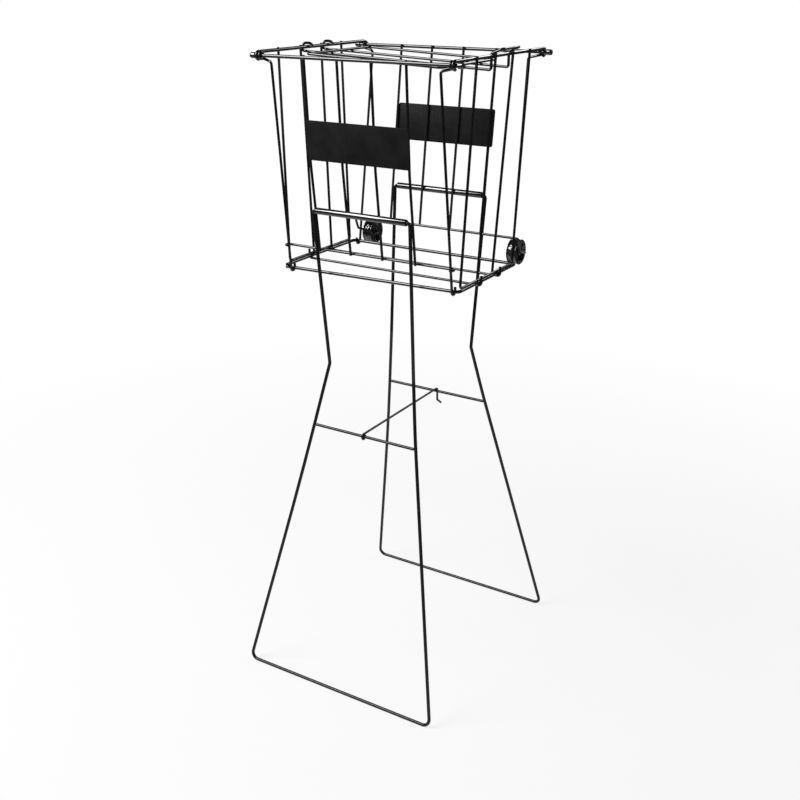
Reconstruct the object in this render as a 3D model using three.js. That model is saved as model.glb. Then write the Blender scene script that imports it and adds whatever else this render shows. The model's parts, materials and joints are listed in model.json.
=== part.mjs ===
// A ball hopper: a wire basket carried by two leg frames that fold up and over it as handles.
// X runs along the basket, Y from front to back and Z up, in millimetres. The origin lies on the
// floor, midway between the two leg frames.
import * as THREE from "three";

// Wire diameters
const legWire = 4.8;
const crossWire = 3.6;
const railWire = 4;
const basketWire = 3;
const braceWire = 2.6;

// Clearances
const seatGap = 0.3; // between pieces that touch, rest or are welded
const seamGap = 0.3; // where the two ends of one bent wire meet
const hookGap = 0.5; // inside a hook that holds another wire
const curlGap = 0.8; // inside the front rod's curls, which hold leaning wires
const eyeGap = 0.7; // round a bar that an eye turns on
const weldGap = 0.9; // at the square ends of the cross bars, beside the leaning legs

// Leg frames, each one wire bent into a tall loop
const floorBarLength = 320;
const stanceDepth = 372;
const floorBend = 10;
const kinkHeight = 474;
const kinkWidth = 139;
const kinkDepth = 166;
const kinkBend = 8;
const topBend = 4.6;
const crossBarHeight = 383;
const crossBarWidth = 170.8;

// Hinge tubes, in which the leg frames turn
const tubeRise = 86.5; // above the floor ring
const tubeLength = 141;
const tubeWall = 1.4;
const tubeClearance = 0.6;
const tubeEndGap = 0.4;

// Basket
const ringHeight = 610;
const ringLength = 272.4;
const ringDepth = 165.6;
const ringBend = 6;
const ringOverhang = 4;
const wallHeight = 282; // from the floor ring to the rim
const rimLength = 288.4;
const frontRimReach = 118;
const rearRimReach = 126.5;
const railOverhang = 12.8;
const railCapLength = 8;
const railCapWall = 1.5;

// Front and rear walls. A rise counts from the floor ring.
const wallWireCount = 4;
const wallWirePitch = 50.4;
const wallBendRise = 147;
const wallBend = 30;
const wireEndRise = 0.8;
const frontRodRise = 30;
const rearRodRise = 35;
const hookTail = 5;
const cornerFootInset = 7.5;
const cornerHeadInset = 19.6;
const cornerHeadDrop = 7.5;
const frontCornerInset = 0.7;
const rearCornerInset = 4.8;
const cornerHookInset = 4.2;
const cornerApproach = 5.5;
const cornerBend = 4;
const approachBend = 3;

// Side walls
const hoopFootDepth = 150.4;
const hoopHeadDepth = 146.4;
const hoopBend = 5;
const sideFootSpread = 44;
const sideHeadSpread = 48.2;
const sideFootShift = -4.2;
const sideHeadShift = 1.9;

// Floor rods
const floorRodSpread = 55.2;
const stubRise = 9;

// Name plates
const plateWidth = 156;
const plateHeight = 51.4;
const plateThickness = 1.2;
const plateRise = 179.4; // from the floor ring to its middle
const plateCorner = 3;
const rearPlateShift = 3.1;

// Lid
const eyeRadius = 5;
const eyeAdvance = 13; // along the rail, over the eye's three quarters of a turn
const lidSideGap = 0.8;
const lidFrameLength = 200;
const lidFrameDepth = 148;
const lidFrameShift = 0.5;
const lidBend = 5;
const lidFootDrop = 17;
const tabReach = 11.2;
const tabRise = 5.8;
const tabBend = 4;
const prongGap = 0.5;
const prongBend = 3;

// Brace between the leg frames
const eyeEndShare = 0.25; // straight end of the eye, as a share of its radius
const braceTail = 16;
const braceKick = 12;
const braceKickDrop = 9;

// Wheels, on the turned ends of the rear rod
const wheelRadius = 18;
const wheelWidth = 14.4;
const wheelLip = 1;
const wheelLipWidth = 2;
const wheelRimWall = 2.6;
const wheelDish = 4.4;
const hubRadius = 4.6;
const hubClearance = 0.5;
const wheelGap = 5.7;
const wheelRise = 9.6;
const wheelPlay = 6.6;
const axleOverhang = 1.3;
const axleBend = 4;
const elbowReach = 17;
const elbowRise = 6.4;
const axleCapWall = 1.1;
const axleCapLength = 3.4;

// Facets
const wireSides = 8;
const bendStep = Math.PI / 6;
const turnedSides = 24;
const wheelSides = 32;
const cornerSteps = 4;

const rimHeight = ringHeight + wallHeight;
const wallBendHeight = ringHeight + wallBendRise;
const frontRodHeight = ringHeight + frontRodRise;
const rearRodHeight = ringHeight + rearRodRise;
const tubeHeight = ringHeight + tubeRise;
const plateMiddle = ringHeight + plateRise;

const legR = legWire / 2;
const railR = railWire / 2;
const wireR = basketWire / 2;
const flatShare = Math.cos(Math.PI / wireSides);

const X = new THREE.Vector3(1, 0, 0);
const Y = new THREE.Vector3(0, 1, 0);
const Z = new THREE.Vector3(0, 0, 1);

const hopper = new THREE.Group();

function coated(color, roughness) {
  return new THREE.MeshStandardMaterial({ color, roughness, metalness: 0 });
}
const glossBlack = () => coated(0x0c0c0d, 0.22);
const satinBlack = () => coated(0x131314, 0.5);
const plasticBlack = () => coated(0x101011, 0.3);

function add(name, geometry, material, group = hopper) {
  const mesh = new THREE.Mesh(geometry, material);
  mesh.name = name;
  group.add(mesh);
  return mesh;
}

// A corner of a wire's centre line, with the radius that it is bent to
function corner(x, y, z, bend = 0) {
  return { point: new THREE.Vector3(x, y, z), bend };
}

// The corners of a round hook or eye. The wire runs along heading, one radius to the side of the
// middle that is opposite to turning, and turns about the middle by quarter turns.
function hook(middle, heading, turning, radius, quarters, tail = 0) {
  const place = (a, b) =>
    middle.clone().addScaledVector(heading, a * radius).addScaledVector(turning, b * radius);
  const squares = [[1, -1], [1, 1], [-1, 1], [-1, -1]];
  const ends = [[0, -1], [1, 0], [0, 1], [-1, 0]];
  const away = [heading, turning, heading.clone().negate(), turning.clone().negate()];
  const corners = squares.slice(0, quarters).map(([a, b]) => ({ point: place(a, b), bend: radius }));
  const end = place(...ends[quarters % ends.length]);
  corners.push({ point: end.addScaledVector(away[quarters % away.length], tail), bend: 0 });
  return corners;
}

// The centre line of a bent wire: straight runs and round bends, with stations only where it bends
class BentWire extends THREE.Curve {
  constructor(corners, flatTowards) {
    super();
    this.flatTowards = flatTowards;
    this.places = [];
    this.tangents = [];
    const last = corners.length - 1;
    corners.forEach(({ point, bend }, i) => {
      const before = i > 0 && point.clone().sub(corners[i - 1].point).normalize();
      const after = i < last && corners[i + 1].point.clone().sub(point).normalize();
      if (!before || !after || !bend) {
        this.station(point, after || before);
        return;
      }
      const angle = before.angleTo(after);
      const start = point.clone().addScaledVector(before, -bend * Math.tan(angle / 2));
      const inward = after.clone().addScaledVector(before, -before.dot(after)).normalize();
      const steps = Math.max(1, Math.ceil(angle / bendStep));
      for (let k = 0; k <= steps; k++) {
        const turned = (angle * k) / steps;
        const place = start.clone().addScaledVector(before, bend * Math.sin(turned));
        place.addScaledVector(inward, bend * (1 - Math.cos(turned)));
        const tangent = before.clone().multiplyScalar(Math.cos(turned));
        this.station(place, tangent.addScaledVector(inward, Math.sin(turned)).normalize());
      }
    });
  }

  station(place, tangent) {
    const last = this.places.at(-1);
    if (last && last.distanceTo(place) < seamGap) return;
    this.places.push(place.clone());
    this.tangents.push(tangent.clone());
  }

  get steps() {
    return this.places.length - 1;
  }

  getPointAt(u, target = new THREE.Vector3()) {
    return target.copy(this.places[Math.round(u * this.steps)]);
  }

  getTangentAt(u, target = new THREE.Vector3()) {
    return target.copy(this.tangents[Math.round(u * this.steps)]);
  }

  // With a direction given, two flats of the section stay square to it all along the wire
  computeFrenetFrames(segments, closed) {
    if (!this.flatTowards) return super.computeFrenetFrames(segments, closed);
    const tangents = this.tangents.map((t) => t.clone());
    const normals = tangents.map((t) => this.flatTowards.clone().cross(t).normalize());
    const binormals = tangents.map((t, i) => t.clone().cross(normals[i]));
    return { tangents, normals, binormals };
  }
}

function wireGeometry(diameter, corners, flatTowards) {
  const section = new THREE.Shape();
  for (let i = 0; i < wireSides; i++) {
    const angle = ((i + 0.5) * 2 * Math.PI) / wireSides;
    const spot = [(Math.cos(angle) * diameter) / 2, (Math.sin(angle) * diameter) / 2];
    if (i) section.lineTo(...spot);
    else section.moveTo(...spot);
  }
  section.closePath();
  const line = new BentWire(corners, flatTowards);
  return new THREE.ExtrudeGeometry(section, { steps: line.steps, extrudePath: line });
}

function addWire(name, diameter, corners, flatTowards) {
  return add(name, wireGeometry(diameter, corners, flatTowards), glossBlack());
}

// A turned piece about the X axis, from a closed outline of [place along X, radius]
function turned(outline, sides) {
  const points = [...outline, outline[0]].map(([along, radius]) => new THREE.Vector2(radius, along));
  return new THREE.LatheGeometry(points, sides).rotateZ(-Math.PI / 2);
}

// A closed sleeve over a wire's end. It opens towards +X and its end face stands at zero.
function cap(bore, wall, length) {
  const outline = [
    [0, 0],
    [0, bore],
    [wall / 2, bore + wall],
    [length, bore + wall],
    [length, bore],
    [wall, bore],
    [wall, 0],
  ].map(([along, radius]) => new THREE.Vector2(radius, along));
  return new THREE.LatheGeometry(outline, turnedSides).rotateZ(-Math.PI / 2);
}

// Both walls lean out from the floor ring, outside its rods, to the rim rails, inside them. The
// front wires are bent steeper above wallBendHeight, because the front rail lies nearer.
const wireSeat = railR + wireR + seatGap;
const hookSeat = railR + wireR + hookGap;
const wallFoot = ringDepth / 2 + hookSeat;
const wallLean = (rearRimReach - wireSeat - wallFoot) / (rimHeight - ringHeight);
const wallAngle = Math.atan(wallLean);
const lowerWallY = (z) => wallFoot + wallLean * (z - ringHeight);
const walls = [
  {
    name: "front",
    side: -1,
    reach: frontRimReach,
    rodHeight: frontRodHeight,
    cornerInset: frontCornerInset,
    plateShift: 0,
  },
  {
    name: "rear",
    side: 1,
    reach: rearRimReach,
    rodHeight: rearRodHeight,
    cornerInset: rearCornerInset,
    plateShift: rearPlateShift,
  },
];
function upperLean(wall) {
  return (
    (wall.reach - wireSeat - lowerWallY(wallBendHeight)) / (rimHeight - wallBendHeight)
  );
}
function wallY(wall, z) {
  if (z < wallBendHeight) return lowerWallY(z);
  return lowerWallY(wallBendHeight) + upperLean(wall) * (z - wallBendHeight);
}
const railHook = railWire + hookGap;
const sideRailHeight = rimHeight + railHook;
const hands = [["left", -1], ["right", 1]];

const ringX = ringLength / 2;
const ringY = ringDepth / 2;

// Ring: one wire round the floor. Its front run starts under the end of its left run.
const ringStart = ringX + ringOverhang;
const ringDip = railWire + seatGap;
const ringFrontZ = (x) => ringHeight - (ringDip * (ringX - x)) / (ringX + ringStart);
addWire(
  "floor_ring",
  railWire,
  [
    corner(-ringStart, -ringY, ringHeight - ringDip),
    corner(ringX, -ringY, ringHeight, ringBend),
    corner(ringX, ringY, ringHeight, ringBend),
    corner(-ringX, ringY, ringHeight, ringBend),
    corner(-ringX, -ringY - ringOverhang, ringHeight),
  ],
  Z,
);

// Rails: the front and rear rails end in caps outside the side rails, which lie on top of them
// and hook down round them.
const railX = rimLength / 2;
const railEndX = railX + railOverhang;
for (const { name, side, reach } of walls) {
  const wireEndX = railEndX - railCapWall - seatGap;
  addWire(
    `${name}_rail`,
    railWire,
    [corner(-wireEndX, side * reach, rimHeight), corner(wireEndX, side * reach, rimHeight)],
    Y,
  );
  for (const [hand, end] of hands) {
    const shape = cap(railR + seatGap, railCapWall, railCapLength).rotateZ(end > 0 ? Math.PI : 0);
    const mesh = add(`${name}_rail_cap_${hand}`, shape, plasticBlack());
    mesh.position.set(end * railEndX, side * reach, rimHeight);
  }
}
for (const [name, side] of hands) {
  const hookDown = (wall) =>
    hook(
      new THREE.Vector3(side * railX, wall.side * wall.reach, rimHeight),
      Y.clone().multiplyScalar(wall.side),
      Z.clone().negate(),
      railHook,
      2,
    );
  const [front, rear] = walls.map(hookDown);
  addWire(`${name}_rail`, railWire, [...front.reverse(), ...rear], X);
}

// Front and rear wall wires. The four corner wires hook round the ring at the foot and round the
// front or rear rail at the head.
const wallWireX = (i) => (i - (wallWireCount - 1) / 2) * wallWirePitch;
const cornerFootX = ringX - cornerFootInset;
const cornerHeadX = railX - cornerHeadInset;
const cornerHookX = railX - cornerHookInset;
const cornerHeadZ = rimHeight - cornerHeadDrop;
const cornerRingZ = (wall, end) => (wall.side < 0 ? ringFrontZ(end * cornerFootX) : ringHeight);
function cornerWireAt(wall, end, z) {
  const ringZ = cornerRingZ(wall, end);
  const foot = new THREE.Vector3(end * cornerFootX, wall.side * wallFoot, ringZ);
  const headY = wall.reach - wall.cornerInset;
  const head = new THREE.Vector3(end * cornerHeadX, wall.side * headY, cornerHeadZ);
  return foot.lerp(head, (z - ringZ) / (cornerHeadZ - ringZ));
}
for (const wall of walls) {
  const { name, side, reach, rodHeight } = wall;
  const outward = Y.clone().multiplyScalar(side);
  for (let i = 0; i < wallWireCount; i++) {
    const x = wallWireX(i);
    const at = (z, bend) => corner(x, side * wallY(wall, z), z, bend);
    addWire(
      `${name}_wall_wire_${i + 1}`,
      basketWire,
      [at(rodHeight - wireR), at(wallBendHeight, wallBend), at(rimHeight + railR + wireEndRise)],
      X,
    );
  }
  for (const [hand, end] of hands) {
    const foot = hook(
      new THREE.Vector3(end * cornerFootX, side * ringY, cornerRingZ(wall, end)),
      Z.clone().negate(),
      outward.clone().negate(),
      hookSeat,
      2,
      hookTail,
    );
    const head = hook(
      new THREE.Vector3(end * cornerHookX, side * reach, rimHeight),
      outward,
      Z,
      hookSeat,
      3,
    );
    const headStart = { point: cornerWireAt(wall, end, cornerHeadZ), bend: cornerBend };
    const approachY = side * (reach - cornerApproach);
    addWire(`${name}_corner_wire_${hand}`, basketWire, [
      ...foot.reverse(),
      headStart,
      corner(end * cornerHookX, approachY, rimHeight - hookSeat, approachBend),
      ...head,
    ]);
  }
}

// Front rod: each end curls round a corner wire
const [frontWall, rearWall] = walls;
const frontCurl = (end) =>
  hook(
    cornerWireAt(frontWall, end, frontRodHeight),
    X.clone().multiplyScalar(end),
    Y.clone().negate(),
    basketWire + curlGap,
    2,
  );
addWire("front_wall_rod", basketWire, [...frontCurl(-1).reverse(), ...frontCurl(1)], Z);

// Rear rod: past the corner wires it bends down, then back, then inward as the wheels' axles
const axleX = ringX + axleOverhang;
const axleZ = ringHeight + wheelRise;
const axleY = lowerWallY(axleZ) + wireR + wheelGap + wheelRadius;
const wheelOuterX = axleX - wireR - wheelPlay;
const wheelInnerX = wheelOuterX - wheelWidth;
const axleCapX = wheelInnerX - seatGap - axleCapLength;
const axleEndX = axleCapX + axleCapWall + seatGap;
const rearRodY = cornerWireAt(rearWall, 1, rearRodHeight).y - basketWire - seatGap;
const axleArm = (end) => [
  corner(end * axleX, rearRodY, rearRodHeight, axleBend),
  corner(end * axleX, axleY - elbowReach, axleZ + elbowRise, axleBend),
  corner(end * axleX, axleY, axleZ, axleBend),
  corner(end * axleEndX, axleY, axleZ),
];
addWire("rear_axle_rod", basketWire, [...axleArm(-1).reverse(), ...axleArm(1)]);

// Side walls: a hoop whose bottom lies on the ring, with two wires welded inside it. All their
// heads stand outside the side rails. The heads sit further back than the feet.
const hoopZ = ringHeight + wireSeat;
const sideLean = (railX + wireSeat - ringX) / (sideRailHeight - hoopZ);
const sideHeadZ = sideRailHeight + railR + wireEndRise;
const sideHeadX = ringX + sideLean * (sideHeadZ - hoopZ);
const sideFootX = ringX - basketWire - seatGap;
const sideHeadY = (end, spread) => sideHeadShift + (end * spread) / 2;
const sideFootY = (end, spread) => sideFootShift + (end * spread) / 2;
for (const [name, side] of hands) {
  addWire(`${name}_side_hoop`, basketWire, [
    corner(side * sideHeadX, sideHeadY(-1, hoopHeadDepth), sideHeadZ),
    corner(side * ringX, sideFootY(-1, hoopFootDepth), hoopZ, hoopBend),
    corner(side * ringX, sideFootY(1, hoopFootDepth), hoopZ, hoopBend),
    corner(side * sideHeadX, sideHeadY(1, hoopHeadDepth), sideHeadZ),
  ]);
  for (const [place, end] of [["front", -1], ["rear", 1]]) {
    addWire(
      `${name}_side_wire_${place}`,
      basketWire,
      [
        corner(side * sideHeadX, sideHeadY(end, sideHeadSpread), sideHeadZ),
        corner(side * sideFootX, sideFootY(end, sideFootSpread), hoopZ - wireR),
      ],
      Y,
    );
  }
}

// Floor rods: each passes under the ring's side runs and turns up outside them
for (const { name, side } of walls) {
  const y = (side * floorRodSpread) / 2;
  const stub = (end) => [
    corner(end * (ringX + wireSeat), y, ringHeight - wireSeat, wireSeat),
    corner(end * (ringX + wireSeat), y, ringHeight + stubRise),
  ];
  addWire(`${name}_floor_rod`, basketWire, [...stub(-1).reverse(), ...stub(1)], Y);
}

// Hinge tubes, welded to the middle wall wires
const tubeBore = legR + tubeClearance;
const tubeR = tubeBore + tubeWall;
const tubeY = lowerWallY(tubeHeight) + (wireR + seatGap + tubeR) / Math.cos(wallAngle);
for (const { name, side } of walls) {
  const half = tubeLength / 2;
  const outline = [[-half, tubeBore], [-half, tubeR], [half, tubeR], [half, tubeBore]];
  const tube = add(`${name}_hinge_tube`, turned(outline, turnedSides), glossBlack());
  tube.position.set(0, side * tubeY, tubeHeight);
}

// Plates: flat sheets across the outside of the walls' wires
for (const wall of walls) {
  const [w, h, r] = [plateWidth / 2, plateHeight / 2, plateCorner];
  const outline = new THREE.Shape();
  outline.moveTo(r - w, -h);
  outline.absarc(w - r, r - h, r, -Math.PI / 2, 0);
  outline.absarc(w - r, h - r, r, 0, Math.PI / 2);
  outline.absarc(r - w, h - r, r, Math.PI / 2, Math.PI);
  outline.absarc(r - w, r - h, r, Math.PI, 1.5 * Math.PI);
  const sheet = new THREE.ExtrudeGeometry(outline, {
    depth: plateThickness,
    curveSegments: cornerSteps,
    bevelEnabled: false,
  });
  sheet.rotateX(Math.PI / 2).translate(0, -wireR - seatGap, 0);
  const group = new THREE.Group();
  group.rotation.z = wall.side < 0 ? 0 : Math.PI;
  const mesh = add(`${wall.name}_plate`, sheet, satinBlack(), group);
  mesh.rotation.x = Math.atan(upperLean(wall));
  mesh.position.set(-wall.side * wall.plateShift, -wallY(wall, plateMiddle), plateMiddle);
  hopper.add(group);
}

// Leg frames: each loop starts and ends inside its hinge tube
const floorZ = legR * flatShare;
const legTopX = tubeLength / 2 + tubeEndGap + topBend;
const legShare = (crossBarHeight - floorZ) / (kinkHeight - floorZ);
const crossY = (stanceDepth + (kinkDepth - stanceDepth) * legShare) / 2;
const crossX = crossBarWidth / 2;
const crossEndX = crossX - legR - weldGap;
for (const { name, side } of walls) {
  const leg = (end) => [
    corner((end * seamGap) / 2, side * tubeY, tubeHeight),
    corner(end * legTopX, side * tubeY, tubeHeight, topBend),
    corner((end * kinkWidth) / 2, (side * kinkDepth) / 2, kinkHeight, kinkBend),
    corner(end * crossX, side * crossY, crossBarHeight, kinkBend),
    corner((end * floorBarLength) / 2, (side * stanceDepth) / 2, floorZ, floorBend),
  ];
  addWire(`${name}_leg_loop`, legWire, [...leg(-1), ...leg(1).reverse()], Y);
  addWire(
    `${name}_cross_bar`,
    crossWire,
    [
      corner(-crossEndX, side * crossY, crossBarHeight),
      corner(crossEndX, side * crossY, crossBarHeight),
    ],
    Y,
  );
}

// Brace: an eye that turns on the front cross bar, and a hook that drops over the rear one
const braceR = braceWire / 2;
const braceEye = crossWire / 2 + braceR + eyeGap;
const braceHook = crossWire / 2 + braceR + hookGap;
addWire(
  "brace",
  braceWire,
  [
    ...hook(
      new THREE.Vector3(0, -crossY, crossBarHeight),
      Y.clone().negate(),
      Z.clone().negate(),
      braceEye,
      3,
      braceEye * eyeEndShare,
    ).reverse(),
    corner(0, crossY + braceHook, crossBarHeight + braceHook, braceHook),
    corner(0, crossY + braceHook, crossBarHeight - braceTail, braceR),
    corner(0, crossY + braceHook + braceKick, crossBarHeight - braceTail - braceKickDrop),
  ],
  X,
);

// Lid: a hairpin wire with an eye round the left rail at each end, and a frame welded across it.
// Each leg of the hairpin runs just behind a side wall's wire.
const lidLegY = (end) => sideHeadY(end, sideHeadSpread) + basketWire + lidSideGap;
const hingeX = -railX;
const footX = railX - railR - wireR - prongGap;
const lidAngle = Math.atan((lidFootDrop - eyeRadius) / (footX - hingeX));
const alongLid = new THREE.Vector3(Math.cos(lidAngle), 0, -Math.sin(lidAngle));
const aboveLid = new THREE.Vector3(Math.sin(lidAngle), 0, Math.cos(lidAngle));
const tabAngle = Math.atan(tabRise / (tabReach + railX - footX));
const prongZ = sideRailHeight + wireSeat / Math.cos(tabAngle) - Math.tan(tabAngle) * (railX - footX);
const eyeQuarters = 3;
const lidEye = (end) =>
  hook(
    new THREE.Vector3(hingeX, lidLegY(end), sideRailHeight),
    alongLid.clone().negate(),
    aboveLid,
    eyeRadius,
    eyeQuarters,
  ).map(({ point, bend }, i) => {
    return { point: point.addScaledVector(Y, (eyeAdvance * i) / eyeQuarters), bend };
  });
const lidLeg = (end) => [
  ...lidEye(end).reverse(),
  corner(footX, lidLegY(end), sideRailHeight - lidFootDrop, prongBend),
  corner(footX, lidLegY(end), prongZ, prongBend),
  corner(railX + tabReach, lidLegY(end), prongZ + tabRise, tabBend),
];
addWire("lid_hinge_wire", basketWire, [...lidLeg(-1), ...lidLeg(1).reverse()]);

const lidFrameX = lidFrameLength / 2;
const lidFrameY = lidFrameDepth / 2;
const lidMiddle = new THREE.Vector3(hingeX, 0, sideRailHeight)
  .addScaledVector(aboveLid, basketWire + seatGap - eyeRadius)
  .addScaledVector(alongLid, railX + lidFrameShift);
const onLid = (x, y, bend) => {
  const point = lidMiddle.clone().addScaledVector(alongLid, x).addScaledVector(Y, y);
  return { point, bend };
};
addWire(
  "lid_frame",
  basketWire,
  [
    onLid(-lidFrameX, seamGap / 2, 0),
    onLid(-lidFrameX, lidFrameY, lidBend),
    onLid(lidFrameX, lidFrameY, lidBend),
    onLid(lidFrameX, -lidFrameY, lidBend),
    onLid(-lidFrameX, -lidFrameY, lidBend),
    onLid(-lidFrameX, -seamGap / 2, 0),
  ],
  aboveLid,
);

// Wheels: dished on both faces, with a raised lip at each edge, and a cap on each axle's end
for (const [name, end] of hands) {
  const half = wheelWidth / 2;
  const bore = wireR + hubClearance;
  const tread = wheelRadius - wheelLip;
  const rim = tread - wheelRimWall;
  const web = half - wheelDish;
  const outline = [
    [-half, bore],
    [-half, hubRadius],
    [-web, hubRadius],
    [-web, rim],
    [-half, rim],
    [-half, wheelRadius],
    [wheelLipWidth - half, wheelRadius],
    [wheelLipWidth + wheelLip - half, tread],
    [half - wheelLipWidth - wheelLip, tread],
    [half - wheelLipWidth, wheelRadius],
    [half, wheelRadius],
    [half, rim],
    [web, rim],
    [web, hubRadius],
    [half, hubRadius],
    [half, bore],
  ];
  const wheel = add(`${name}_wheel`, turned(outline, wheelSides), plasticBlack());
  wheel.position.set((end * (wheelOuterX + wheelInnerX)) / 2, axleY, axleZ);
  const shape = cap(wireR + seatGap, axleCapWall, axleCapLength).rotateZ(end < 0 ? Math.PI : 0);
  const mesh = add(`${name}_axle_cap`, shape, plasticBlack());
  mesh.position.set(end * axleCapX, axleY, axleZ);
}

export default hopper;
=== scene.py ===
# %% [markdown]
# # A ball hopper in black coated wire
# The hopper is a wire basket on two leg frames. It is nearly all bent round wire, welded and then
# powder coated, with a few moulded caps and two wheels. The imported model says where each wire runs,
# but its wires have eight flats and coarse bends. Here each one is laid again as a true round wire
# on the same line, and gets the coat, the welds and the rounded ends of the real one.

import json
import math

import bmesh
import bpy
from mathutils import Matrix, Vector
from mathutils.kdtree import KDTree

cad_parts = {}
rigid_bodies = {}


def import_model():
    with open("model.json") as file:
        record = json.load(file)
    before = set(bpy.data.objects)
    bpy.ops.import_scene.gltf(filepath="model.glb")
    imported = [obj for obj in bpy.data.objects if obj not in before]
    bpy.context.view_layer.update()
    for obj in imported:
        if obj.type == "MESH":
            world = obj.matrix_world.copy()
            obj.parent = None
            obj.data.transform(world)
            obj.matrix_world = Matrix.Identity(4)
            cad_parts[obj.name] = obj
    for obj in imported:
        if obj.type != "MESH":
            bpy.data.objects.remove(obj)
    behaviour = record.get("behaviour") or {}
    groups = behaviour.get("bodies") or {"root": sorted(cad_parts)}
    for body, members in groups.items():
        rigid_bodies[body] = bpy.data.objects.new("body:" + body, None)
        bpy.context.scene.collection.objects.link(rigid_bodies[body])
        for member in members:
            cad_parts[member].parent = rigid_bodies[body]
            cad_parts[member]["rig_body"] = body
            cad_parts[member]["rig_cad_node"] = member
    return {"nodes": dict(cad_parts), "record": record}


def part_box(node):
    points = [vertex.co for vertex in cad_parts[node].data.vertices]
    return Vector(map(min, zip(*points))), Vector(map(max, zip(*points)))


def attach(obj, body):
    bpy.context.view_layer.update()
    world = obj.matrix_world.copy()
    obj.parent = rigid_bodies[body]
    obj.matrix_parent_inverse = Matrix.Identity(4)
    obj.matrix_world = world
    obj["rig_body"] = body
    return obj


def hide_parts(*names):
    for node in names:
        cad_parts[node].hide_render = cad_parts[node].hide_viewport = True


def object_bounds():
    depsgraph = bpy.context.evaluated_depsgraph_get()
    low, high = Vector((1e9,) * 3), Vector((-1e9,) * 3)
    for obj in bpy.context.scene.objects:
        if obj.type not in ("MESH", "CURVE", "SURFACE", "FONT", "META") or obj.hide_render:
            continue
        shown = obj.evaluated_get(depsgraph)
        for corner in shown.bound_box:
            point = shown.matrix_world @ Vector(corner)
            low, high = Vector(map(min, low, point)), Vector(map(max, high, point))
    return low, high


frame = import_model()
cad_low, cad_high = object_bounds()
MM = 0.001
body_of = {
    node: body
    for body, nodes in frame["record"]["behaviour"]["bodies"].items()
    for node in nodes
}

# %% [markdown]
# ## Camera
# The photograph looks down on a front corner from about a metre and a half. The place and the lens
# could be found by eye, but straight bars give them exactly: the corners of the leg frames were
# matched to their pixels, and the camera below is the one that fits.

# %% Make the camera
CAMERA_PLACE = (0.7644, -1.2491, 0.9996)
CAMERA_DIP, CAMERA_TURN = 0.38685, 0.5510  # radians below the level, and to the left
SENSOR, LENS = 36, 48.05  # millimetres
NEAREST, FURTHEST = 0.05, 60

scene = bpy.context.scene
scene.view_settings.view_transform = "Standard"
camera_data = bpy.data.cameras.new("camera")
camera_data.sensor_width = SENSOR
camera_data.lens = LENS
camera_data.clip_start = NEAREST
camera_data.clip_end = FURTHEST
camera = bpy.data.objects.new("camera", camera_data)
camera.location = CAMERA_PLACE
camera.rotation_euler = (math.pi / 2 - CAMERA_DIP, 0, CAMERA_TURN)
scene.collection.objects.link(camera)
scene.camera = camera
print("camera at", tuple(camera.location))

# %% [markdown]
# ## Nodes without clutter
# Materials here are built from many small nodes. One helper adds a node and sets its inputs, one
# adds a ramp from one span of values to another, and one links a socket to a socket. The last one
# opens a node group with its named sockets. So each material's cell reads like its recipe.


# %% Helpers for shader nodes
def put(tree, kind, settings=(), **inputs):
    node = tree.nodes.new(kind)
    for name, value in dict(settings).items():
        setattr(node, name, value)
    for name, value in inputs.items():
        node.inputs[name.replace("_", " ")].default_value = value
    return node


def ramp(tree, span=(0.0, 1.0), levels=(0.0, 1.0)):
    node = put(tree, "ShaderNodeMapRange")
    ends = {"From Min": span[0], "From Max": span[1], "To Min": levels[0], "To Max": levels[1]}
    for name, value in ends.items():
        node.inputs[name].default_value = value
    return node


def join(tree, source, target):
    tree.links.new(source, target)


def open_group(name, inputs, outputs):
    group = bpy.data.node_groups.new(name, "ShaderNodeTree")
    for socket, value in inputs.items():
        kind = "NodeSocketColor" if isinstance(value, tuple) else "NodeSocketFloat"
        made = group.interface.new_socket(socket, in_out="INPUT", socket_type=kind)
        made.default_value = value
    for socket, kind in outputs.items():
        group.interface.new_socket(socket, in_out="OUTPUT", socket_type=kind)
    return group, put(group, "NodeGroupInput"), put(group, "NodeGroupOutput")


# %% [markdown]
# ## Room
# The hopper stands on a white sweep, where floor and wall run into each other and nothing but a
# weak shadow shows. The black coat tells more about that room: the hinge tubes mirror a soft box,
# then a dark room, and in their lower half the white paper, which ends about a metre out. So the
# camera sees plain white all round, gloss sees a pale band at the horizon with a dark room above
# it, and everything else gets a soft grey fill.

# %% Make the world
HORIZON, ROOM = 0.3, 0.02  # how bright gloss sees the horizon and the dark room
BAND_TOP = 0.28
FILL = 0.22

world = bpy.data.worlds.new("sweep")
world.use_nodes = True
scene.world = world
tree = world.node_tree
tree.nodes.clear()
path = put(tree, "ShaderNodeLightPath")
towards = put(tree, "ShaderNodeTexCoord")
axes = put(tree, "ShaderNodeSeparateXYZ")
band = ramp(tree, (0.0, BAND_TOP), (HORIZON, ROOM))
fill = put(tree, "ShaderNodeMix", A=FILL)
seen = put(tree, "ShaderNodeMath", {"operation": "MAXIMUM"})
strength = put(tree, "ShaderNodeMix", B=1.0)
background = put(tree, "ShaderNodeBackground", Color=(1, 1, 1, 1))
output = put(tree, "ShaderNodeOutputWorld")
join(tree, towards.outputs["Generated"], axes.inputs[0])
join(tree, axes.outputs["Z"], band.inputs["Value"])
join(tree, path.outputs["Is Glossy Ray"], fill.inputs["Factor"])
join(tree, band.outputs["Result"], fill.inputs["B"])
join(tree, path.outputs["Is Camera Ray"], seen.inputs[0])
join(tree, path.outputs["Is Transmission Ray"], seen.inputs[1])
join(tree, seen.outputs[0], strength.inputs["Factor"])
join(tree, fill.outputs["Result"], strength.inputs["A"])
join(tree, strength.outputs["Result"], background.inputs["Strength"])
join(tree, background.outputs[0], output.inputs["Surface"])
print("world made")

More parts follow.
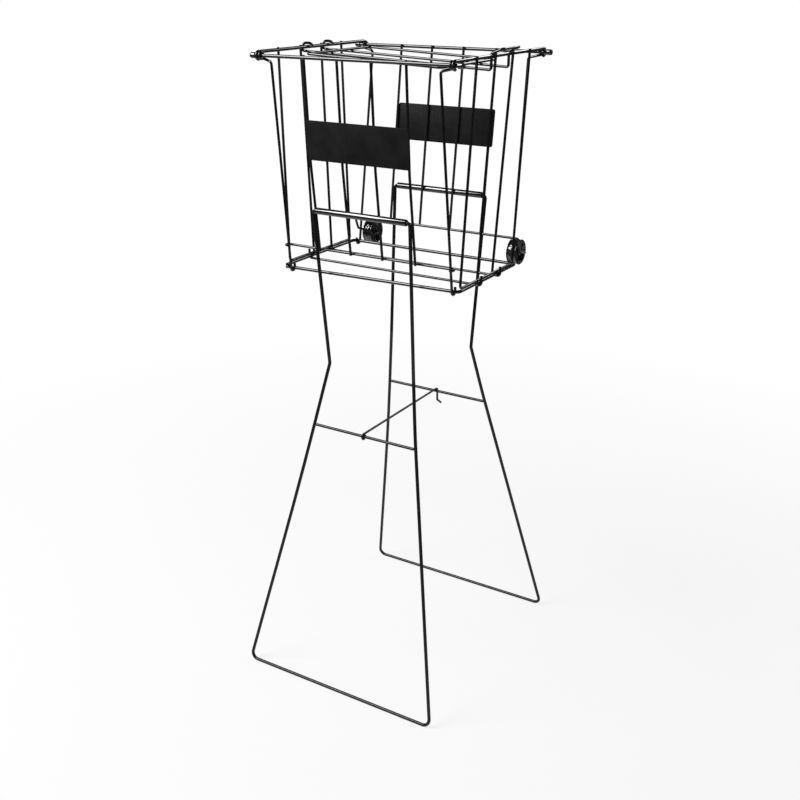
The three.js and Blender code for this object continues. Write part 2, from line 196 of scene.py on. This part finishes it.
# %% [markdown]
# The floor is part plain white and part matt. The matt part takes the shadow, and the white part
# keeps it as weak as in the photograph. Further out the matt part fades away, so no edge shows. In
# gloss the paper glows by itself as a painted pool of light: brightest near the hopper, it fades into
# the dark room past its edge.

# %% Make the floor
FLOOR_SIZE = 24
MATT_WHITE = (0.9, 0.9, 0.9, 1)
SHADOW_SPAN, WHITE_SHARE = (0.5, 1.5), (0.78, 1.0)  # metres out, and the plain white there
# The paper's glow in gloss is painted light: the floor glows by itself, brightest near the hopper and
# weaker further out, as lamp-lit paper would look.
PAPER_SPAN, PAPER_PAINTED_GLOW = (0.8, 1.7), (0.6, 0.05)  # metres out, and the glow in gloss there

bpy.ops.object.select_all(action="DESELECT")
bpy.ops.mesh.primitive_plane_add(size=FLOOR_SIZE, location=(0, 0, 0))
floor = bpy.context.object
floor.name = "floor"
floor_paint = bpy.data.materials.new("floor_paint")
floor_paint.use_nodes = True
tree = floor_paint.node_tree
tree.nodes.clear()
place = put(tree, "ShaderNodeTexCoord")
far = put(tree, "ShaderNodeVectorMath", {"operation": "LENGTH"})
shade = ramp(tree, SHADOW_SPAN, WHITE_SHARE)
# Painted pool of light: how bright gloss sees the floor, set by its distance from the middle.
painted_paper_glow = ramp(tree, PAPER_SPAN, PAPER_PAINTED_GLOW)
path = put(tree, "ShaderNodeLightPath")
shown = put(tree, "ShaderNodeMath", {"operation": "MULTIPLY"})
either = put(tree, "ShaderNodeMath", {"operation": "MAXIMUM"})
any_of = put(tree, "ShaderNodeMath", {"operation": "MAXIMUM"})
level = put(tree, "ShaderNodeMix", A=1.0)
matt = put(tree, "ShaderNodeBsdfDiffuse", Color=MATT_WHITE)
white = put(tree, "ShaderNodeEmission", Color=(1, 1, 1, 1))
mix = put(tree, "ShaderNodeMixShader")
output = put(tree, "ShaderNodeOutputMaterial")
join(tree, place.outputs["Object"], far.inputs[0])
join(tree, far.outputs["Value"], shade.inputs["Value"])
join(tree, far.outputs["Value"], painted_paper_glow.inputs["Value"])
join(tree, path.outputs["Is Camera Ray"], shown.inputs[0])
join(tree, shade.outputs["Result"], shown.inputs[1])
join(tree, path.outputs["Is Glossy Ray"], either.inputs[0])
join(tree, path.outputs["Is Transmission Ray"], either.inputs[1])
join(tree, shown.outputs[0], any_of.inputs[0])
join(tree, either.outputs[0], any_of.inputs[1])
join(tree, path.outputs["Is Glossy Ray"], level.inputs["Factor"])
join(tree, painted_paper_glow.outputs["Result"], level.inputs["B"])
join(tree, level.outputs["Result"], white.inputs["Strength"])
join(tree, any_of.outputs[0], mix.inputs["Fac"])
join(tree, matt.outputs[0], mix.inputs[1])
join(tree, white.outputs[0], mix.inputs[2])
join(tree, mix.outputs[0], output.inputs["Surface"])
floor.data.materials.append(floor_paint)
print("floor", tuple(floor.dimensions))

# %% [markdown]
# ## Lamps
# Black gloss shows its shape only by what it reflects, so the lamps are placed by the streaks in
# the photograph. On a tube along X the streak sits a third of the radius above the middle, which
# puts the big soft box in front, to the left and about 40 degrees above the basket. The thin line
# on the wires that run front to back asks for a smaller and weaker box behind the hopper, about 30
# degrees up and to the right.

# %% Hang the lamps
UNDER_BASKET = Vector((0, 0, 0.65))


def soft_box(name, place, size, power):
    data = bpy.data.lights.new(name, "AREA")
    data.shape = "RECTANGLE"
    data.size, data.size_y = size
    data.energy = power
    lamp = bpy.data.objects.new(name, data)
    lamp.location = place
    aim = UNDER_BASKET - Vector(place)
    lamp.rotation_euler = aim.to_track_quat("-Z", "Y").to_euler()
    scene.collection.objects.link(lamp)


soft_box("key_box", place=(-1.19, -1.29, 2.11), size=(1.2, 1.4), power=62)
soft_box("back_box", place=(0.5, 2.0, 1.9), size=(1.2, 0.35), power=9)

# %% [markdown]
# ## The skin of a coat
# Powder coat melts into a smooth film with a faint orange peel, patches that are a little duller,
# and specks of dust in it. The same skin covers wire, sheet and mouldings with other values, so it
# is a node group. It reads Object coordinates, so the grain stays on the piece when it moves.

# %% Build the skin group
PATCH_SCALE, PATCH_SPAN = 38.0, (0.35, 0.68)
DUST_SCALE, SPECK_SPAN = 260.0, (0.05, 0.11)
PEEL_DEPTH = 0.02 * MM

inputs = {
    "Dark": (0.01, 0.01, 0.01, 1),
    "Pale": (0.02, 0.02, 0.02, 1),
    "Grain Scale": 700.0,
    "Grain Depth": 0.1,
    "Smooth": 0.2,
    "Dull": 0.35,
}
outputs = {
    "Color": "NodeSocketColor",
    "Roughness": "NodeSocketFloat",
    "Normal": "NodeSocketVector",
}
skin, given, made = open_group("coat_skin", inputs, outputs)
place = put(skin, "ShaderNodeTexCoord")
peel = put(skin, "ShaderNodeTexNoise", Detail=2.0, Roughness=0.45)
patch = put(skin, "ShaderNodeTexNoise", Scale=PATCH_SCALE, Detail=4.0, Roughness=0.6)
dust = put(skin, "ShaderNodeTexVoronoi", Scale=DUST_SCALE)
speck = ramp(skin, SPECK_SPAN, (1.0, 0.0))
cloudy = ramp(skin, PATCH_SPAN)
either = put(skin, "ShaderNodeMath", {"operation": "MAXIMUM"})
tint = put(skin, "ShaderNodeMix", {"data_type": "RGBA"})
gloss = ramp(skin)
bump = put(skin, "ShaderNodeBump", Distance=PEEL_DEPTH)
for texture in (peel, patch, dust):
    join(skin, place.outputs["Object"], texture.inputs["Vector"])
join(skin, given.outputs["Grain Scale"], peel.inputs["Scale"])
join(skin, patch.outputs["Fac"], cloudy.inputs["Value"])
join(skin, dust.outputs["Distance"], speck.inputs["Value"])
join(skin, cloudy.outputs["Result"], either.inputs[0])
join(skin, speck.outputs["Result"], either.inputs[1])
join(skin, either.outputs[0], tint.inputs["Factor"])
join(skin, given.outputs["Dark"], tint.inputs["A"])
join(skin, given.outputs["Pale"], tint.inputs["B"])
join(skin, tint.outputs["Result"], made.inputs["Color"])
join(skin, cloudy.outputs["Result"], gloss.inputs["Value"])
join(skin, given.outputs["Smooth"], gloss.inputs["To Min"])
join(skin, given.outputs["Dull"], gloss.inputs["To Max"])
join(skin, gloss.outputs["Result"], made.inputs["Roughness"])
join(skin, peel.outputs["Fac"], bump.inputs["Height"])
join(skin, given.outputs["Grain Depth"], bump.inputs["Strength"])
join(skin, bump.outputs["Normal"], made.inputs["Normal"])
print("skin group with", len(skin.nodes), "nodes")

# %% [markdown]
# Wherever the hopper stands or rolls, its lowest parts pick up fine grey scuffs. That is a second
# group: it is strongest at a given height, fades above it, and is broken up by noise.

# %% Build the scuff group
STREAK_SCALE, STREAK_SPAN = 420.0, (0.5, 0.66)
SCUFF_ROUGHNESS = 0.75

inputs = {
    "Color": (0.01, 0.01, 0.01, 1),
    "Roughness": 0.3,
    "Scuff Color": (0.06, 0.058, 0.055, 1),
    "Low": 0.0,
    "High": 0.004,
    "Amount": 0.5,
}
outputs = {"Color": "NodeSocketColor", "Roughness": "NodeSocketFloat"}
scuff, given, made = open_group("floor_scuff", inputs, outputs)
place = put(scuff, "ShaderNodeTexCoord")
axes = put(scuff, "ShaderNodeSeparateXYZ")
height = ramp(scuff, levels=(1.0, 0.0))
streaks = put(scuff, "ShaderNodeTexNoise", Scale=STREAK_SCALE, Detail=5.0, Roughness=0.7)
broken = ramp(scuff, STREAK_SPAN)
worn = put(scuff, "ShaderNodeMath", {"operation": "MULTIPLY"})
worn_much = put(scuff, "ShaderNodeMath", {"operation": "MULTIPLY"})
tint = put(scuff, "ShaderNodeMix", {"data_type": "RGBA"})
rough = put(scuff, "ShaderNodeMix", B=SCUFF_ROUGHNESS)
join(scuff, place.outputs["Object"], axes.inputs[0])
join(scuff, place.outputs["Object"], streaks.inputs["Vector"])
join(scuff, axes.outputs["Z"], height.inputs["Value"])
join(scuff, given.outputs["Low"], height.inputs["From Min"])
join(scuff, given.outputs["High"], height.inputs["From Max"])
join(scuff, streaks.outputs["Fac"], broken.inputs["Value"])
join(scuff, height.outputs["Result"], worn.inputs[0])
join(scuff, broken.outputs["Result"], worn.inputs[1])
join(scuff, worn.outputs[0], worn_much.inputs[0])
join(scuff, given.outputs["Amount"], worn_much.inputs[1])
join(scuff, worn_much.outputs[0], tint.inputs["Factor"])
join(scuff, given.outputs["Color"], tint.inputs["A"])
join(scuff, given.outputs["Scuff Color"], tint.inputs["B"])
join(scuff, worn_much.outputs[0], rough.inputs["Factor"])
join(scuff, given.outputs["Roughness"], rough.inputs["A"])
join(scuff, tint.outputs["Result"], made.inputs["Color"])
join(scuff, rough.outputs["Result"], made.inputs["Roughness"])
print("scuff group with", len(scuff.nodes), "nodes")

# %% [markdown]
# ## Finishes
# Each finish is the skin group with its own numbers, and where it meets the ground the scuffs on
# top. The shader stays in the material. The clear top of the coat is the same all over, so its
# specular level, weight and roughness are set on the shader's own sockets.


# %% Mix the finishes
def finish_of(name, colours, grain, top, scuffed=()):
    material = bpy.data.materials.new(name)
    material.use_nodes = True
    tree = material.node_tree
    tree.nodes.clear()
    coat = put(tree, "ShaderNodeGroup", {"node_tree": skin})
    for socket, colour in zip(("Dark", "Pale"), colours):
        coat.inputs[socket].default_value = (*colour, 1)
    for socket, value in zip(("Grain Scale", "Grain Depth", "Smooth", "Dull"), grain):
        coat.inputs[socket].default_value = value
    shader = put(tree, "ShaderNodeBsdfPrincipled")
    for socket, value in zip(("Specular IOR Level", "Coat Weight", "Coat Roughness"), top):
        shader.inputs[socket].default_value = value
    output = put(tree, "ShaderNodeOutputMaterial")
    surface = coat
    if scuffed:
        surface = put(tree, "ShaderNodeGroup", {"node_tree": scuff})
        for socket, value in zip(("Low", "High", "Amount"), scuffed):
            surface.inputs[socket].default_value = value
        join(tree, coat.outputs["Color"], surface.inputs["Color"])
        join(tree, coat.outputs["Roughness"], surface.inputs["Roughness"])
    join(tree, surface.outputs["Color"], shader.inputs["Base Color"])
    join(tree, surface.outputs["Roughness"], shader.inputs["Roughness"])
    join(tree, coat.outputs["Normal"], shader.inputs["Normal"])
    join(tree, shader.outputs[0], output.inputs["Surface"])
    return material


# The dark and the pale colour of each material.
black = (0.0045, 0.0045, 0.005), (0.008, 0.008, 0.0085)
charcoal = (0.007, 0.007, 0.0075), (0.0105, 0.0105, 0.011)
moulded = (0.006, 0.006, 0.0065), (0.010, 0.010, 0.010)
# Scale and depth of the grain, and the roughness where the skin is smooth and where it is dull.
melted, rubbed, lumpy, powdery = (
    (700, 0.2, 0.05, 0.12),
    (700, 0.5, 0.22, 0.34),
    (1100, 0.8, 0.16, 0.28),
    (1100, 0.7, 0.40, 0.52),
)
fine, finest = (1500, 0.2, 0.08, 0.16), (1500, 0.12, 0.06, 0.14)
# Specular level, and the weight and roughness of the clear top.
wet, glossy, thin, satin = (0.8, 1.0, 0.05), (0.5, 0.55, 0.05), (0.45, 0.0, 0.1), (0.12, 0.0, 0.3)
# Height where the scuffs are strongest, height where they end, and how strong they are.
foot_scuffs, tread_scuffs = (0.0, 0.004, 0.6), (0.6016, 0.606, 0.5)

tube_coat = finish_of("tube_coat", black, melted, wet)
wire_coat = finish_of("wire_coat", black, melted, glossy)
leg_coat = finish_of("leg_coat", black, rubbed, thin, foot_scuffs)
weld_coat = finish_of("weld_coat", black, lumpy, glossy)
sheet_coat = finish_of("sheet_coat", charcoal, powdery, satin)
cap_plastic = finish_of("cap_plastic", moulded, fine, wet)
wheel_plastic = finish_of("wheel_plastic", moulded, finest, wet, tread_scuffs)
slots = {
    "coated_wire": wire_coat,
    "coated_sheet": sheet_coat,
    "black_plastic": cap_plastic,
}
slot_of = {part["node"]: part["material_slot"] for part in frame["record"]["subparts"]}
print(sorted(m.name for m in bpy.data.materials if m.node_tree))


# %% [markdown]
# ## A piece takes its node's place
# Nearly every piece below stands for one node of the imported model: it hides that node, rides on its
# body and takes its finish. One helper does this, so that no piece is left behind when the legs
# fold. The others copy a pattern's mesh to a new place, turn it to face left or right, select one
# piece alone, and round a piece's sharp edges before its shading is smoothed.

# %% Helpers for the pieces
EDGE_STEPS = 3


def stand_for(piece, node, material=None):
    piece.data.materials.clear()
    piece.data.materials.append(material or slots[slot_of[node]])
    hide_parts(node)
    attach(piece, body_of[node])
    return piece


def copy_of(pattern, name, move):
    twin = pattern.copy()
    twin.data = pattern.data.copy()
    twin.data.transform(move)
    twin.name = name
    scene.collection.objects.link(twin)
    return twin


def turned_to(middle, facing):
    turn = 0 if facing > 0 else math.pi
    return Matrix.Translation(middle) @ Matrix.Rotation(turn, 4, "Z")


def only(piece):
    bpy.ops.object.select_all(action="DESELECT")
    piece.select_set(True)
    bpy.context.view_layer.objects.active = piece


def round_edges(piece, width, sharp, smooth):
    only(piece)
    bevel = piece.modifiers.new("round", "BEVEL")
    bevel.width = width
    bevel.segments = EDGE_STEPS
    bevel.limit_method = "ANGLE"
    bevel.angle_limit = math.radians(sharp)
    bpy.ops.object.modifier_apply(modifier="round")
    bpy.ops.object.shade_smooth_by_angle(angle=math.radians(smooth))


# %% [markdown]
# ## From a solid to its line
# A packed wire is a chain of eight-sided rings. The wire's line runs through the rings' middles,
# and each ring's own plane gives the wire's direction there. The route could be typed in again,
# but reading it keeps every wire where the model has it. The two round end faces show once flat
# faces are joined in a copy. From one of them the walk goes along the merged mesh: whatever a ring
# touches that hasn't been passed yet is the next ring. Each ring's points are taken in the mesh's
# order, so that every run reads the same line.


# %% Read a wire's stations
FLATS = 8
SAME_POINT = 0.01 * MM
SAME_PLANE = math.radians(0.5)
ROUND_ENOUGH = 1.04  # longest over shortest radius of an end face


def end_faces(solid):
    flat = solid.copy()
    bmesh.ops.dissolve_limit(flat, angle_limit=SAME_PLANE, verts=flat.verts, edges=flat.edges)
    found = []
    for face in flat.faces:
        middle = face.calc_center_median()
        spans = [(v.co - middle).length for v in face.verts]
        if len(spans) == FLATS and max(spans) < ROUND_ENOUGH * min(spans):
            found.append(([v.co.copy() for v in face.verts], -face.normal))
    flat.free()
    return found


def square_to(ring, middle, towards):
    spokes = [v.co - middle for v in ring]
    across = min(spokes[1:], key=lambda spoke: abs(spoke.dot(spokes[0])))
    normal = spokes[0].cross(across).normalized()
    return normal if normal.dot(towards) > 0 else -normal


def read_wire(node):
    solid = bmesh.new()
    solid.from_mesh(frame["nodes"][node].data)
    bmesh.ops.remove_doubles(solid, verts=solid.verts, dist=SAME_POINT)
    solid.verts.index_update()
    ends = end_faces(solid)
    if len(ends) != 2:
        raise ValueError(f"{node}: {len(ends)} round ends")
    corners, forward = ends[0]
    ring = {v for v in solid.verts if any((v.co - c).length < SAME_POINT for c in corners)}
    stations, passed = [], set()
    while ring:
        if len(ring) != FLATS:
            raise ValueError(f"{node}: a ring of {len(ring)} after {len(stations)} stations")
        last = sorted(ring, key=lambda v: v.index)
        middle = sum((v.co for v in last), Vector()) / FLATS
        forward = square_to(last, middle, forward)
        stations.append((middle, forward))
        passed |= ring
        ring = {e.other_vert(v) for v in ring for e in v.link_edges} - passed
    radius = (last[0].co - stations[-1][0]).length
    solid.free()
    return stations, radius


wires = [
    node
    for node, part in frame["nodes"].items()
    if not any(word in node for word in ("cap", "tube", "plate", "wheel"))
]
lines = {node: read_wire(node) for node in wires}
print(len(lines), "wires,", sum(len(s) for s, _ in lines.values()), "stations")

# %% [markdown]
# ## Laying a wire
# A Bezier curve through the stations, with handles along the wire's direction, turns each coarse
# bend back into a true arc: for a step of angle a on radius r, a handle of 4/3 tan(a/4) r is right
# to a few thousandths. A round bevel gives the curve its thickness, and it becomes a mesh so that
# the cut ends can be rounded as the coat rounds them. The coat adds three tenths of a millimetre
# all round. That closes the hairline gaps at the welds, and the wires look as bold as in the
# picture. The leg loops are left at their own thickness, because they fold up flat against a plate.

# %% Lay every wire
COAT = 0.3 * MM
STRAIGHT = 0.001  # radians: a stretch that turns less is laid straight
WIRE_STEPS = 6  # how fine the mesh is, along each stretch and round the wire
WIRE_EDGE = 0.3  # rounding of a cut end, as a share of the radius
WIRE_SHARP, WIRE_SMOOTH = 50, 40  # degrees


def lay_wire(name, stations, radius):
    bpy.ops.object.select_all(action="DESELECT")
    bpy.ops.curve.primitive_bezier_curve_add(location=(0, 0, 0))
    piece = bpy.context.object
    piece.name = name
    curve = piece.data
    line = curve.splines[0]
    line.bezier_points.add(len(stations) - 2)
    for point, (place, _) in zip(line.bezier_points, stations):
        point.handle_left_type = point.handle_right_type = "FREE"
        point.co = point.handle_left = point.handle_right = place
    for i in range(len(stations) - 1):
        (start, out), (end, into) = stations[i], stations[i + 1]
        span, turn = (end - start).length, out.angle(into, 0.0)
        reach = span / 3
        if turn > STRAIGHT:
            reach = 4 / 3 * math.tan(turn / 4) * span / (2 * math.sin(turn / 2))
        line.bezier_points[i].handle_right = start + out * reach
        line.bezier_points[i + 1].handle_left = end - into * reach
    curve.resolution_u = WIRE_STEPS
    curve.bevel_depth = radius
    curve.bevel_resolution = WIRE_STEPS
    curve.use_fill_caps = True
    only(piece)
    bpy.ops.object.convert(target="MESH")
    piece = bpy.context.object
    round_edges(piece, radius * WIRE_EDGE, WIRE_SHARP, WIRE_SMOOTH)
    return piece


pieces = {}
for node in wires:
    stations, radius = lines[node]
    on_legs = body_of[node].endswith("leg_frame") or node == "brace"
    material = leg_coat if on_legs else None
    skin_of_coat = 0 if "leg_loop" in node else COAT
    piece = lay_wire(f"{node}_round", stations, radius + skin_of_coat)
    pieces[node] = stand_for(piece, node, material)
print(sum(len(p.data.polygons) for p in pieces.values()), "faces of wire")

# %% [markdown]
# A round wire and its coat bulge past the model's flats. Where that would reach out of the model's
# box, on the underside that stands on the floor and at the outermost runs, the bulge is pressed
# back onto the box. Underneath, that is also the flat that the floor wears on a real leg.


# %% Press the outermost wires onto the box
def press_into_box(piece):
    moved = 0
    for vertex in piece.data.vertices:
        inside = Vector(
            min(max(c, low), high) for c, low, high in zip(vertex.co, cad_low, cad_high)
        )
        moved += (inside - vertex.co).length > 0
        vertex.co = inside
    return moved


for node in ("front_leg_loop", "rear_leg_loop", "lid_hinge_wire"):
    print(node, press_into_box(pieces[node]), "points pressed in")

# %% [markdown]
# ## Turned pieces
# Hinge tubes, caps and wheels are all round about an axis along X. Each could be a cylinder with
# holes cut in it, but a section spun round its axis gives the bore, the lips and the dish in one
# go. The section starts as a circle with one point for each corner, and is laid out in the plane
# of the axis. The spun seam is merged before the edges are rounded.

# %% Spin a section into a piece
SEAM = 0.005 * MM
SPUN_SHARP, SPUN_SMOOTH = 30, 35  # degrees


def spin_section(name, section, steps, rounding):
    bpy.ops.object.select_all(action="DESELECT")
    bpy.ops.mesh.primitive_circle_add(vertices=len(section), radius=MM, location=(0, 0, 0))
    piece = bpy.context.object
    piece.name = name
    for vertex, (along, radius) in zip(piece.data.vertices, section):
        vertex.co = (along, 0, radius)
    bpy.ops.object.mode_set(mode="EDIT")
    bpy.ops.mesh.select_all(action="SELECT")
    bpy.ops.mesh.spin(steps=steps, angle=2 * math.pi, center=(0, 0, 0), axis=(1, 0, 0))
    bpy.ops.mesh.select_all(action="SELECT")
    bpy.ops.mesh.remove_doubles(threshold=SEAM)
    bpy.ops.mesh.normals_make_consistent(inside=False)
    bpy.ops.object.mode_set(mode="OBJECT")
    round_edges(piece, rounding, SPUN_SHARP, SPUN_SMOOTH)
    return piece


def middle_of(node):
    low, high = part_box(node)
    return (low + high) / 2, (high - low) / 2


# %% [markdown]
# The hinge tubes are short lengths of steel tube, cut square. The leg frames' ends turn in them.

# %% Cut the hinge tubes
TUBE_BORE, TUBE_EDGE = 3.0 * MM, 0.35 * MM
TUBE_STEPS = 64

_, half = middle_of("front_hinge_tube")
ends = [(-half.x, TUBE_BORE), (-half.x, half.z), (half.x, half.z), (half.x, TUBE_BORE)]
tube = spin_section("tube_pattern", ends, TUBE_STEPS, TUBE_EDGE)
for side in ("front", "rear"):
    node = f"{side}_hinge_tube"
    middle, half = middle_of(node)
    stand_for(copy_of(tube, f"{node}_round", turned_to(middle, 1)), node, tube_coat)
    print(node, round(2 * half.z / MM, 2), "mm across,", round(2 * half.x / MM, 1), "long")
bpy.data.objects.remove(tube)

# %% [markdown]
# Caps close the ends of the front and rear rails, so that they don't scratch. Each is a soft black
# moulding with a domed end. The dome is a quarter round in the section. A smaller cap on each end
# of the axle rod keeps the wheel on.

# %% Mould the caps
RAIL_CAP = {"bore": 2.3 * MM, "wall": 1.5 * MM}
AXLE_CAP = {"bore": 1.8 * MM, "wall": 1.1 * MM}
DOME, DOME_STEPS = 0.6, 6  # the dome's radius as a share of the cap's
CAP_STEPS, CAP_EDGE = 48, 0.15 * MM


def cap_section(length, bore, outer, wall):
    dome = min(outer, length) * DOME
    section = [(0, 0)]
    for k in range(DOME_STEPS + 1):
        turn = math.pi / 2 * k / DOME_STEPS
        section.append((dome * (1 - math.cos(turn)), outer - dome + dome * math.sin(turn)))
    return section + [(length, outer), (length, bore), (wall, bore), (wall, 0)]


def mould_caps(facings, bore, wall):
    _, half = middle_of(next(iter(facings)))
    section = cap_section(2 * half.x, bore, half.z, wall)
    pattern = spin_section("cap_pattern", section, CAP_STEPS, CAP_EDGE)
    for node, facing in facings.items():
        middle, half = middle_of(node)
        start = middle - Vector((half.x * facing, 0, 0))
        stand_for(copy_of(pattern, f"{node}_round", turned_to(start, facing)), node)
    bpy.data.objects.remove(pattern)
    print(len(facings), "caps", round(2 * half.z / MM, 1), "mm across")


hands = {"left": -1, "right": 1}
rail_caps = {f"{s}_rail_cap_{h}": -end for s in ("front", "rear") for h, end in hands.items()}
mould_caps(rail_caps, **RAIL_CAP)
mould_caps({f"{h}_axle_cap": end for h, end in hands.items()}, **AXLE_CAP)

# %% [markdown]
# ## Wheels
# Two small wheels at the rear let the hopper roll when it is tipped. Each is one glossy moulding
# with a crowned tread between two thin lips, a deep dish on both faces and a hub round the axle.
# The crown shows in the photograph: the lamp is one round spot on the tread, where a straight one
# would carry a band, and the spot sits right of the middle on the left wheel and left of it on the
# right one. The lips catch a thin line of light.

# %% Mould the wheels
CROWN, LIP, RIM_WALL, DISH = 1.0 * MM, 1.2 * MM, 3.4 * MM, 4.4 * MM
HUB, BORE, DRAFT = 4.6 * MM, 2.0 * MM, 0.8 * MM
TREAD_STEPS = 6  # from the middle to a lip
WHEEL_STEPS, WHEEL_EDGE = 96, 0.35 * MM

_, size = middle_of("left_wheel")
half, radius = size.x, size.z
rim, web = radius - RIM_WALL, half - DISH
flank = [(half - LIP, radius), (half, radius), (half, rim), (web, rim - DRAFT)]
flank += [(web, HUB + DRAFT), (half, HUB), (half, BORE)]
shares = [k / TREAD_STEPS for k in range(-TREAD_STEPS, TREAD_STEPS + 1)]
tread = [(share * (half - LIP), radius - CROWN * share**2) for share in shares]
section = [(-along, up) for along, up in reversed(flank)] + tread + flank
wheel = spin_section("wheel_pattern", section, WHEEL_STEPS, WHEEL_EDGE)
for hand, facing in hands.items():
    node = f"{hand}_wheel"
    middle, size = middle_of(node)
    stand_for(copy_of(wheel, f"{node}_round", turned_to(middle, facing)), node, wheel_plastic)
    print(node, round(2 * size.z / MM, 1), "mm across")
bpy.data.objects.remove(wheel)

# %% [markdown]
# ## Plates
# A plate is cut from thin sheet with its corners rounded, and coated satin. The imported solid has
# the right outline and lean, so a copy of it is merged and its flat faces joined, and then the cut
# edges are rounded, which gives the thin light line along them.

# %% Trim the plates
SHEET_FLAT = math.radians(1)
SHEET_EDGE, SHEET_SHARP, SHEET_SMOOTH = 0.3 * MM, 60, 40  # the last two in degrees

for side in ("front", "rear"):
    node = f"{side}_plate"
    piece = frame["nodes"][node].copy()
    piece.data = piece.data.copy()
    piece.name = f"{node}_sheet"
    piece.parent = None
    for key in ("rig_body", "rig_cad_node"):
        del piece[key]
    scene.collection.objects.link(piece)
    only(piece)
    bpy.ops.object.mode_set(mode="EDIT")
    bpy.ops.mesh.select_all(action="SELECT")
    bpy.ops.mesh.remove_doubles(threshold=SAME_POINT)
    bpy.ops.mesh.dissolve_limited(angle_limit=SHEET_FLAT)
    bpy.ops.object.mode_set(mode="OBJECT")
    round_edges(piece, SHEET_EDGE, SHEET_SHARP, SHEET_SMOOTH)
    stand_for(piece, node)
    print(node, len(piece.data.polygons), "faces")

# %% [markdown]
# ## Welds
# The wires are welded where they cross or lie together, and the coat runs over each spot as a small
# soft lump. To place them, the lines of the two wires are sampled every millimetre. Where they come
# close enough to touch there is a weld: one at a crossing, and three along a run where one wire
# lies on another.

# %% Find where two wires meet
BRIDGED = 1.2 * MM  # the widest gap that a weld closes
RUN = 14  # samples: fewer are a crossing
ALONG_RUN = (0.06, 0.5, 0.94)


def sampled(stations):
    points = []
    for (start, _), (end, _) in zip(stations, stations[1:]):
        steps = max(1, round((end - start).length / MM))
        points += [start.lerp(end, k / steps) for k in range(steps)]
    return points + [stations[-1][0]]


def meetings(first, second):
    (stations_a, radius_a), (stations_b, radius_b) = first, second
    line_a, line_b = sampled(stations_a), sampled(stations_b)
    tree = KDTree(len(line_b))
    for i, point in enumerate(line_b):
        tree.insert(point, i)
    tree.balance()
    groups, current = [], []
    for point in line_a:
        near, _, distance = tree.find(point)
        if distance < radius_a + radius_b + BRIDGED:
            current.append((distance, point, near))
        elif current:
            groups.append(current)
            current = []
    if current:
        groups.append(current)
    spots = []
    for group in groups:
        if len(group) < RUN:
            spots.append(min(group, key=lambda s: s[0]))
        else:
            spots += [group[round(share * (len(group) - 1))] for share in ALONG_RUN]
    return spots, radius_a, radius_b


# %% [markdown]
# A lump starts as a ball of fine triangles. A copy of it is set at each spot, flattened across the
# joint, and the whole set is then roughened a little by a cloud pattern, so that no two are alike.

# %% Model a set of welds
LUMP_WIDE, LUMP_DEEP = 0.72, 0.4  # shares of the thinner wire's radius
LUMP_MORE = 0.3 * MM
RIPPLE_SIZE, RIPPLE_HEIGHT = 1.6 * MM, 0.35 * MM

ripple = bpy.data.textures.new("weld_ripple", "CLOUDS")
ripple.noise_scale = RIPPLE_SIZE
bpy.ops.object.select_all(action="DESELECT")
bpy.ops.mesh.primitive_ico_sphere_add(subdivisions=3, radius=1, location=(0, 0, 0))
bead = bpy.context.object
bead.name = "bead_pattern"


def weld(name, pairs, body):
    lumps = []
    for a, b in pairs:
        spots, radius_a, radius_b = meetings(lines[a], lines[b])
        for distance, point, near in spots:
            across = (near - point).normalized()
            gap = max(distance - radius_a - radius_b, 0)
            middle = point + across * (radius_a + gap / 2)
            slim = min(radius_a, radius_b) + COAT
            wide, deep = LUMP_WIDE * slim + LUMP_MORE, gap / 2 + LUMP_DEEP * slim
            turn = across.to_track_quat("Z", "Y").to_matrix().to_4x4()
            size = Matrix.Diagonal((wide, wide, deep, 1))
            move = Matrix.Translation(middle) @ turn @ size
            lumps.append(copy_of(bead, f"{name}_{len(lumps)}", move))
    bpy.ops.object.select_all(action="DESELECT")
    for lump in lumps:
        lump.select_set(True)
    bpy.context.view_layer.objects.active = lumps[0]
    if len(lumps) > 1:
        bpy.ops.object.join()
    piece = lumps[0]
    piece.name = name
    rough = piece.modifiers.new("ripple", "DISPLACE")
    rough.texture = ripple
    rough.texture_coords = "LOCAL"
    rough.strength = RIPPLE_HEIGHT
    rough.mid_level = 0.5
    bpy.ops.object.modifier_apply(modifier="ripple")
    bpy.ops.object.shade_smooth()
    piece.data.materials.clear()
    piece.data.materials.append(weld_coat)
    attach(piece, body)
    print(name, len(lumps), "spots")


# %% [markdown]
# Each set below holds the welds of one part of the hopper, and rides with it. The search could run
# over every pair of wires, but the hooks and curls that only lie against each other are not welded,
# so the pairs are named. The hinge tubes join in as straight lines of their own.

# %% Weld every joint
for side in ("front", "rear"):
    middle, half = middle_of(f"{side}_hinge_tube")
    ends = [middle - Vector((half.x, 0, 0)), middle + Vector((half.x, 0, 0))]
    lines[f"{side}_hinge_tube"] = ([(p, Vector((1, 0, 0))) for p in ends], half.z)
rods = {"front": "front_wall_rod", "rear": "rear_axle_rod"}
for side, rod in rods.items():
    wall = [f"{side}_wall_wire_{i}" for i in range(1, 5)]
    pairs = [(wire, to) for wire in wall for to in (f"{side}_rail", rod, f"{side}_hinge_tube")]
    weld(f"{side}_wall_welds", pairs, "basket")
    weld(f"{side}_leg_welds", [(f"{side}_cross_bar", f"{side}_leg_loop")], f"{side}_leg_frame")
for hand in hands:
    hoop = f"{hand}_side_hoop"
    uprights = [f"{hand}_side_wire_front", f"{hand}_side_wire_rear"]
    pairs = [(hoop, f"{hand}_rail"), (hoop, "floor_ring")]
    pairs += [(wire, to) for wire in uprights for to in (f"{hand}_rail", hoop)]
    weld(f"{hand}_side_welds", pairs, "basket")
floor_rods = ["front_floor_rod", "rear_floor_rod"]
weld("floor_welds", [(rod, "floor_ring") for rod in floor_rods], "basket")
weld("lid_welds", [("lid_frame", "lid_hinge_wire")], "lid")
bpy.data.objects.remove(bead)
